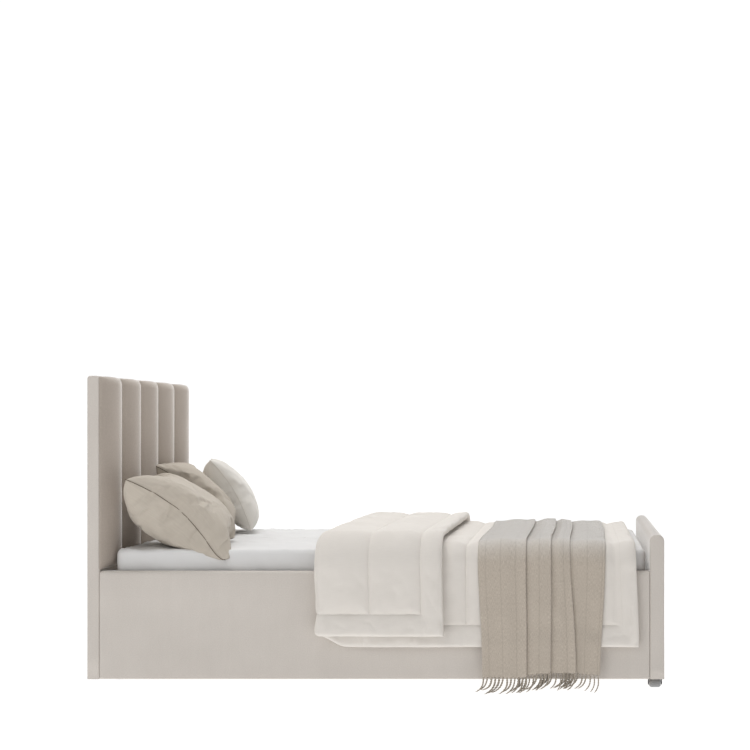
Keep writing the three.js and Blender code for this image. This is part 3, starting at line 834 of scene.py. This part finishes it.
def tassel_pattern(name, drop, radius, material):
    """Two-ply twisted tassels with a knot at the hem, which curl to one side just above the floor."""
    tree = Pattern(name, {
        "Drop": ("Float", drop), "Radius": ("Float", radius), "Curl": ("Float", 0.020),
        "Material": ("Material", material), "Seed": ("Int", 7),
    })
    drop_size, ply = tree.given("Drop"), tree.given("Radius")
    twist = tree.add("GeometryNodeCurveSpiral", inputs={
        "Resolution": 9, "Rotations": 3.5, "Start Radius": ply * 0.62, "End Radius": ply * 0.8,
        "Height": drop_size,
    })
    other = tree.add("GeometryNodeTransform", inputs={"Geometry": twist, "Rotation": (0.0, 0.0, math.pi)})
    both = tree.add("GeometryNodeJoinGeometry", inputs={0: twist})
    tree.node_tree.links.new(other.socket, both.socket.node.inputs[0])
    section = tree.add("GeometryNodeCurvePrimitiveCircle", inputs={"Resolution": 6, "Radius": ply * 0.72})
    cord = tree.add("GeometryNodeCurveToMesh", inputs={
        "Curve": both, "Profile Curve": section, "Fill Caps": True,
    })
    x, y, height = tree.parts(tree.add("GeometryNodeInputPosition"))
    bent = (height / drop_size) ** 3.0
    turned = tree.add("ShaderNodeCombineXYZ", inputs={
        "X": x - bent * tree.given("Curl"),
        "Y": y,
        "Z": bent * drop_size * 0.06 - height,
    })
    hung = tree.add("GeometryNodeSetPosition", inputs={"Geometry": cord, "Position": turned})
    knot = tree.add("GeometryNodeMeshUVSphere", inputs={"Segments": 8, "Rings": 6, "Radius": ply * 1.5})
    whole = tree.add("GeometryNodeJoinGeometry", inputs={0: hung})
    tree.node_tree.links.new(knot.socket, whole.socket.node.inputs[0])
    points = tree.add("GeometryNodeMeshToPoints", inputs={"Mesh": tree.given("Path")})
    spin = tree.add("FunctionNodeRandomValue", {"data_type": "FLOAT_VECTOR"}, {
        0: (-0.10, -0.16, -0.55), 1: (0.10, 0.22, 0.45), "Seed": tree.given("Seed"),
    })
    stretch = tree.add("FunctionNodeRandomValue", {"data_type": "FLOAT_VECTOR"}, {
        0: (0.8, 0.85, 0.92), 1: (1.5, 1.15, 1.02), "Seed": tree.given("Seed"),
    })
    copies = tree.add("GeometryNodeInstanceOnPoints", inputs={
        "Points": points, "Instance": whole, "Rotation": spin, "Scale": stretch,
    })
    tree.end(copies)
    return tree


def make_stitching():
    stitches = stitch_pattern("quilt_stitches", 0.0058, 0.0038, 0.00042, THREAD)
    belongs(stitches.make("quilt_stitching", path_object("seam_lines", seam_lines())))


def make_throw():
    faces, maps, middle, width = throw_grids()
    piece = two_faced("throw", faces[0], faces[1], WOOL, maps)
    for side, row in (("near", 0), ("far", -1)):
        points = hem_points(middle[row])
        drop = float(points[:, 2].min()) - 0.004
        tassels = tassel_pattern(f"tassels_{side}", drop, 0.0019, WOOL_CORD)
        fringe = tassels.make(f"throw_fringe_{side}", path_object(f"hem_{side}", [points]))
        belongs(fringe)
    belongs(piece, "throw_blanket")


# ------------------------------------------------------------------ cushions
CORNER_ROUNDING = 0.028
CORNER_DROOP = np.array((0.026, -0.014, -0.038))  # of the front cushion, over the side of the mattress
GIVE = 0.02  # how softly a cushion is pressed flat
cushions = {
    "front": {
        "length": 0.39, "width": 0.402, "thick": 0.200, "tip": 42, "turn": 8,
        "centre": (-0.636, -0.262, 0.520), "slot": "beige_linen", "cloth": BEIGE_LINEN, "thread": SEAM_THREAD,
    },
    "back": {
        "length": 0.30, "width": 0.36, "thick": 0.160, "tip": 43, "turn": 3,
        "centre": (-0.697, 0.150, 0.560), "slot": "beige_linen", "cloth": BEIGE_LINEN, "thread": SEAM_THREAD,
    },
    "small": {
        "length": 0.25, "width": 0.30, "thick": 0.125, "tip": 61, "turn": 14,
        "centre": (-0.620, 0.262, 0.562), "slot": "light_linen", "cloth": PALE_LINEN, "thread": THREAD,
    },
}


def cushion_case(name, size, seed, grid=0.0068):
    """A sewn flat case blown up as cloth, lying about the origin: length along Y, width along X."""
    length, width = size["length"], size["width"]
    rows, columns = int(length / grid), int(width / grid)
    v, u = np.meshgrid(np.linspace(-1, 1, rows), np.linspace(-1, 1, columns), indexing="ij")
    ease = 0.02
    rounded = 1 - CORNER_ROUNDING * np.abs(u * v) ** 5
    x = u * width / 2 * (1 - ease * (1 - v ** 2)) * rounded
    y = v * length / 2 * (1 - ease * (1 - u ** 2)) * rounded
    start = 0.008 * (1 - u ** 8) * (1 - v ** 8)
    start = start + 0.0025 * noise_field(x, y, 26.0, seed)
    start[0], start[-1], start[:, 0], start[:, -1] = 0, 0, 0, 0
    count = rows * columns
    edge = grid_edge(rows, columns)
    inner = sorted(set(range(count)) - set(edge))
    renumber = {index: index for index in edge}
    renumber.update((index, count + place) for place, index in enumerate(inner))
    flat = np.stack([x, y], axis=-1).reshape(-1, 2)
    top = np.column_stack([flat, start.ravel()])
    points = np.concatenate([top, (top * (1, 1, -1))[inner]])
    faces = list(quads(rows, columns))
    faces += [tuple(renumber[i] for i in face) for face in quads(rows, columns, 0, True)]
    maps = np.concatenate([flat, flat[inner] + (0.003, 0.002)])
    piece = make_piece(name, points, faces, size["cloth"], maps)
    inflate(piece)
    share = np.column_stack([u.ravel(), v.ravel()])
    share = np.concatenate([share, share[inner]])
    side = np.concatenate([np.ones(count), -np.ones(len(inner))])
    side[edge] = 0
    fill_out(piece, share, side, maps, size, seed)
    return piece, edge


def inflate(piece, frames=24):
    """Blows the case up as cloth under pressure."""
    cloth = piece.modifiers.new("cloth", "CLOTH")
    settings = cloth.settings
    settings.quality = 7
    settings.mass = 0.25
    settings.tension_stiffness = settings.compression_stiffness = 18
    settings.shear_stiffness = 6
    settings.bending_stiffness = 0.6
    settings.use_pressure = True
    settings.uniform_pressure_force = 4.0
    settings.effector_weights.gravity = 0
    cloth.collision_settings.use_self_collision = False
    scene = bpy.context.scene
    for number in range(1, frames + 1):
        scene.frame_set(number)
    apply_modifiers(piece)
    scene.frame_set(1)


def fill_out(piece, share, side, flat, size, seed):
    """Packs the blown-up case full to its seams, and gathers its cloth at the corners and in narrow creases.

    share is each point's place in the case from -1 to 1, flat its place in metres, and side its face, 0 on the
    seam.
    """
    length, width, thick = size["length"], size["width"], size["thick"]
    points = np.zeros((len(share), 3))
    piece.data.vertices.foreach_get("co", points.ravel())
    u, v = np.abs(share[:, 0]), np.abs(share[:, 1])
    slump = 1 + 0.32 * share[:, 0] * side
    crown = thick / 2 * slump * (1 - u ** 2.2) ** 0.52 * (1 - v ** 4.5) ** 0.55
    blown = np.abs(points[:, 2])
    blown = blown * (thick / 2 / max(blown.max(), 0.01))
    body = 0.72 * crown + 0.28 * blown
    from_seam = np.minimum((1 - u) * width, (1 - v) * length) / 2
    corner = np.copysign(np.array((width, length)) / 2 * (1 - CORNER_ROUNDING), share)
    gap_x, gap_y = (corner - flat).T
    away, turn = np.hypot(gap_x, gap_y), np.arctan2(gap_y, gap_x)
    wander = noise_field(flat[:, 0] + side * 0.5, flat[:, 1], 5.0, seed + 3.0, 2)
    gathers = np.sin(turn * 12.0 + wander * 6.0 + seed) * np.exp(-away / 0.05) * 0.0036
    path = noise_field(flat[:, 0] * 1.2 + side * 0.7, flat[:, 1] * 0.8, 5.0, seed + 8.0, 2)
    stops = noise_field(flat[:, 0] + side * 0.4, flat[:, 1], 8.0, seed + 5.0, 2)
    creases = np.exp(-(path / 0.036) ** 2) * smooth(stops, -0.15, 0.20) * 0.0085
    tucks = np.exp(-((path - 0.22) / 0.030) ** 2) * smooth(-stops, -0.10, 0.2) * 0.0070
    ruffle = np.exp(-((path + 0.20) / 0.026) ** 2) * smooth(stops, 0.0, 0.3) * 0.0060
    fade = 1 - np.exp(-from_seam / 0.012)
    body = body + (gathers - creases - tucks - ruffle + wander * 0.008) * fade
    bow = thick * 0.15 * (1 - share[:, 0] ** 2) * v ** 3
    points[:, 2] = bow + np.where(side == 0, points[:, 2] * 0.4, side * np.maximum(body, 0.0012))
    piece.data.vertices.foreach_set("co", points.ravel())
    piece.data.update()


def settle(points, size):
    """Turns a cushion about the origin into its place, pressed on the sheet and against the headboard."""
    tip = Matrix.Rotation(math.radians(size["tip"]), 3, "Y")
    spin = Matrix.Rotation(math.radians(size["turn"]), 3, "Z") @ tip
    placed = np.array(points) @ np.array(spin).T + np.array(size["centre"])
    over = np.clip(np.abs(placed[:, 1]) - flat_half - 0.006, 0, None)
    floor = rest_z - over ** 2 * 22
    depth = floor + GIVE - placed[:, 2]
    placed[:, 2] = np.where(depth > 0, floor + GIVE * np.exp(-depth / GIVE), placed[:, 2])
    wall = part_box("headboard_channel_1")[1].x + 0.001
    reach = wall + GIVE / 2 - placed[:, 0]
    placed[:, 0] = np.where(reach > 0, wall + GIVE / 2 * np.exp(-reach * 2 / GIVE), placed[:, 0])
    return placed


def corner_share(points, size):
    """How near each point of a cushion is to its low near corner, from 0 to 1."""
    points = np.array(points)
    out = smooth(points[:, 0] / size["width"], 0.00, 0.50)
    near = smooth(-points[:, 1] / size["length"], 0.05, 0.50)
    return out * near


def leant_on(points, other, start_y):
    """Pushes a cushion back where another one leans on it, beyond start_y."""
    tip = math.radians(other["tip"])
    spin = Matrix.Rotation(math.radians(other["turn"]), 3, "Z")
    normal = np.array(spin @ Vector((math.sin(tip), 0.0, math.cos(tip))))
    depth = (points - np.array(other["centre"])) @ normal + other["thick"] * 0.46
    share = smooth(points[:, 1], start_y - 0.05, start_y + 0.03)
    return points - (np.clip(depth, 0, None) * share)[:, None] * normal


def piping(name, line, radius, material, sides=8):
    """A cord round a closed line."""
    line = np.array([tuple(p) for p in line])
    count = len(line)
    ahead = np.roll(line, -1, axis=0) - np.roll(line, 1, axis=0)
    ahead /= np.linalg.norm(ahead, axis=1, keepdims=True)
    up = np.cross(ahead, np.roll(ahead, -3, axis=0) + (0.01, 0.02, 1.0))
    up /= np.linalg.norm(up, axis=1, keepdims=True)
    across = np.cross(ahead, up)
    angle = np.linspace(0, 2 * math.pi, sides, endpoint=False)
    ring = line[:, None] + radius * (np.cos(angle)[None, :, None] * up[:, None]
                                     + np.sin(angle)[None, :, None] * across[:, None])
    around = np.arange(count)[:, None] * 0.0075 + np.zeros((1, sides))
    maps = np.stack([around, np.broadcast_to(angle * radius, (count, sides))], axis=-1).reshape(-1, 2)
    return face_out(make_piece(name, ring.reshape(-1, 3), tube(count, sides, closed=True), material, maps))


def make_cushion(name, seed):
    size = cushions[name]
    piece, edge = cushion_case(f"cushion_{name}", size, seed)
    points = [tuple(v.co) for v in piece.data.vertices]
    placed = settle(points, size)
    if name == "front":
        placed = placed + corner_share(points, size)[:, None] * CORNER_DROOP
    if name == "back":
        placed = leant_on(placed, cushions["small"], 0.15)
    piece.data.vertices.foreach_set("co", placed.ravel())
    piece.data.update()
    subdivision = piece.modifiers.new("finer", "SUBSURF")
    subdivision.levels = subdivision.render_levels = 1
    apply_modifiers(piece)
    belongs(piece, f"pillow_{name}")
    belongs(piping(f"cushion_{name}_seam", placed[edge], 0.0011, size["thread"]))


# ------------------------------------------------------------------ mattress and sheet
def slab_points(lo, hi, corner, edge, step, open_below):
    """A rounded slab as rings from the bottom edge up, over the top and in to its middle."""
    def ring(shrink, z):
        radius = max(corner - shrink, 0.002)
        x0, x1, y0, y1 = lo.x + shrink, hi.x - shrink, lo.y + shrink, hi.y - shrink
        points = []
        for cx, cy, first in ((x1, y0, -90), (x1, y1, 0), (x0, y1, 90), (x0, y0, 180)):
            px = cx - radius * (1 if cx == x1 else -1)
            py = cy - radius * (1 if cy == y1 else -1)
            for a in np.radians(np.linspace(first, first + 90, 9)):
                points.append((px + radius * math.cos(a), py + radius * math.sin(a), z))
        closed = np.array(points + points[:1])
        gap = np.concatenate([[0], np.cumsum(np.linalg.norm(np.diff(closed, axis=0), axis=1))])
        at = np.linspace(0, gap[-1], around, endpoint=False)
        return np.stack([np.interp(at, gap, closed[:, k]) for k in range(3)], axis=1)

    around = int(2 * (hi.x - lo.x + hi.y - lo.y) / step)
    rings = [ring(0, z) for z in np.linspace(lo.z, hi.z - edge, int((hi.z - lo.z - edge) / step))]
    if not open_below:
        rings.insert(0, ring(edge, lo.z))
        rings[1] = ring(0, lo.z + edge)
    for a in np.linspace(0, math.pi / 2, 7)[1:]:
        rings.append(ring(edge * (1 - math.cos(a)), hi.z - edge + edge * math.sin(a)))
    return np.array(rings)


def make_slab(name, lo, hi, corner, edge, step, material, wrinkle, open_below=False, wall=0.0):
    """A mattress or its sheet: the rounded slab with its top filled in by ever smaller rings."""
    rings = list(slab_points(lo, hi, corner, edge, step, open_below))
    around = len(rings[0])
    half = (hi.y - lo.y) / 2
    share = np.linspace(0, 1, int(half / step))[1:]

    def inwards(ring, shares):
        """Rings between this one and the slab's middle line."""
        line = np.stack([np.clip(ring[:, 0], lo.x + half, hi.x - half), np.zeros(around), ring[:, 2]], axis=1)
        return [ring + (line - ring) * t for t in shares]

    rings += inwards(rings[-1], share)
    if not open_below:
        rings = inwards(rings[0], share[::-1]) + rings
    points = np.array(rings)
    drop = hi.z - points[:, :, 2]
    maps = np.stack([points[:, :, 0] + np.sign(points[:, :, 0]) * drop,
                     points[:, :, 1] + np.sign(points[:, :, 1]) * drop], axis=-1)
    points = points + wrinkle(points)
    faces = tube(len(points), around)
    piece = make_piece(name, points.reshape(-1, 3), faces, material, maps.reshape(-1, 2))
    face_out(piece, merge=0.0008)
    return give_wall(piece, wall) if wall else piece


def sheet_wrinkles(points):
    """Shallow drag lines on the top that fade to the foot, and small upright gathers down the sides."""
    middle_x, end_line, side_line = 0.0145, 0.79, 0.39
    x, y, z = points[..., 0], points[..., 1], points[..., 2]
    head = 1 - smooth(x, -0.5, 0.1)
    skew = noise_field(x + y * 1.6, y * 0.35 - x * 0.2, 7.0, 3.0, 3)
    fine = noise_field(x * 0.6 - y, y * 0.5 + x, 15.0, 9.0, 2)
    on_top = smooth(z, sheet_hi.z - 0.016, sheet_hi.z)
    lift = ((1 - np.abs(skew)) ** 6 * 0.0042 * (0.35 + 0.65 * head) + fine * 0.0011) * on_top
    side = 1 - on_top
    gather = noise_field(x * 6.0 + z * 4.0, y * 6.0 + z * 1.5, 3.0, 5.0, 3) * side * 0.0034
    gather = gather * smooth(sheet_hi.z - z, 0.0, 0.05)
    out = np.zeros_like(points)
    out[..., 2] = lift - 0.0006
    out[..., 1] = np.sign(y) * gather * (np.abs(y) > side_line)
    out[..., 0] = np.sign(x - middle_x) * gather * (np.abs(x - middle_x) > end_line)
    return out


def make_mattress():
    """The mattress, with a tape round its top and bottom edges."""
    lo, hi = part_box("mattress")
    corner, edge = 0.022, 0.014
    piece = make_slab("mattress_body", lo, hi, corner, edge, 0.02, TICKING, np.zeros_like)
    belongs(piece, "mattress")
    side = slab_points(lo, hi, corner, edge, 0.012, False)[1]
    for number, z in enumerate((lo.z + 0.012, hi.z - 0.012)):
        line = np.stack([side[:, 0], side[:, 1], np.full(len(side), z)], axis=1)
        belongs(piping(f"mattress_tape_{number}", line, 0.0022, TICKING))


def make_sheet():
    piece = make_slab("sheet", sheet_lo, sheet_hi, 0.026, 0.014, 0.0105, SHEET, sheet_wrinkles, True, 0.0006)
    belongs(piece, "fitted_sheet")


# ------------------------------------------------------------------ upholstered frame
def make_frame_covers():
    cover = covered_board("headboard_wrap", cover_lo, cover_hi, 0.009, 0.005, VELVET)
    foot = covered_board("footboard_wrap", foot_lo, foot_hi, 0.0195, 0.006, VELVET)
    near = rail_cover("rail_wrap_near", rail_lo, rail_hi, -1)
    far = rail_cover("rail_wrap_far", *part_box("rail_cover_far"), 1)
    named = [(cover, "headboard_cover"), (foot, "footboard_cover"), (near, "rail_cover_near"),
             (far, "rail_cover_far")]
    for index in range(1, 6):
        node = f"headboard_channel_{index}"
        named.append((channel(f"channel_{index}", *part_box(node), index), node))
    for piece, node in named:
        belongs(piece, node)


def dress_frame():
    """Materials for the pieces that keep their CAD shape."""
    looks = {
        "_core": BOARD, "slat_ledge": PINE, "centre_beam": PINE, "slat_": BIRCH, "beam_bracket": ZINC,
        "corner_": ZINC, "centre_leg_pad": GREY_TREAD, "centre_leg": BLACK_STEEL, "head_foot": BLACK_NYLON,
        "caster_wheel": GREY_TREAD, "caster_axle": ZINC, "caster_": BLACK_STEEL,
    }
    for name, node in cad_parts.items():
        for key, look in looks.items():
            if key in name:
                for slot in node.material_slots:
                    slot.material = look
                break


# ------------------------------------------------------------------ stage, light and camera
ROOM_LIGHT = 0.32
SWEEP_LIGHT = 1.8
BACKGROUND = 1.05
FLOOR_GLOW = 0.94
WHITE = (1.0, 1.0, 1.0, 1.0)


def make_stage():
    """A pale floor that glows, as a lit studio sweep does. It lies a hair below the bed's feet."""
    bpy.ops.mesh.primitive_circle_add(vertices=96, radius=40, fill_type="NGON", location=(0, 0, -0.0005))
    floor = bpy.context.object
    floor.name = "floor"
    look = Finish("pale_floor")
    look.finish(
        Base_Color=(0.30, 0.30, 0.30, 1.0), Roughness=0.9, Specular_IOR_Level=0.0,
        Emission_Color=WHITE, Emission_Strength=FLOOR_GLOW,
    )
    floor.data.materials.append(look.material)


def softbox(name, place, target, size, power, colour=(1, 1, 1)):
    """A round soft light of this size in metres and power in watts, aimed at target."""
    light = bpy.data.lights.new(name, "AREA")
    light.shape = "DISK"
    light.size = size
    light.energy = power
    light.color = colour
    holder = bpy.data.objects.new(name, light)
    bpy.context.scene.collection.objects.link(holder)
    holder.location = place
    holder.rotation_euler = (Vector(target) - Vector(place)).to_track_quat("-Z", "Y").to_euler()


def make_light():
    """A white sweep behind, weak light all round, and soft lights above and in front on the head's side."""
    world = bpy.data.worlds.new("studio")
    world.use_nodes = True
    tree = Tree(world.node_tree)
    world.node_tree.nodes.clear()
    behind = tree.parts(tree.add("ShaderNodeTexCoord"))[1].positive()
    glow = behind ** 3.0 * SWEEP_LIGHT + ROOM_LIGHT
    seen = tree.add("ShaderNodeLightPath")
    strength = seen * BACKGROUND + (1 - seen) * glow
    sky = tree.add("ShaderNodeBackground", inputs={"Color": WHITE, "Strength": strength})
    tree.add("ShaderNodeOutputWorld", inputs={"Surface": sky})
    bpy.context.scene.world = world
    softbox("key", (-2.2, -4.2, 3.2), (0, 0, 0.4), 2.6, 40, (1.0, 0.99, 0.975))
    softbox("top", (-0.2, 0.2, 4.0), (0, 0, 0.3), 3.0, 80)
    bpy.context.scene.view_settings.view_transform = "Standard"


def make_camera():
    data = bpy.data.cameras.new("camera")
    data.lens = 62.2
    data.shift_x = -0.264
    data.shift_y = 0.0693
    holder = bpy.data.objects.new("camera", data)
    bpy.context.scene.collection.objects.link(holder)
    holder.location = (0.592, -4.327, 0.800)
    holder.rotation_euler = (math.pi / 2, 0, 0)
    bpy.context.scene.camera = holder


# ------------------------------------------------------------------ make it
make_camera()
make_light()
make_stage()
make_frame_covers()
dress_frame()
make_mattress()
make_sheet()
make_quilt()
make_stitching()
make_throw()
for seed, name in enumerate(cushions, start=1):
    make_cushion(name, float(seed))
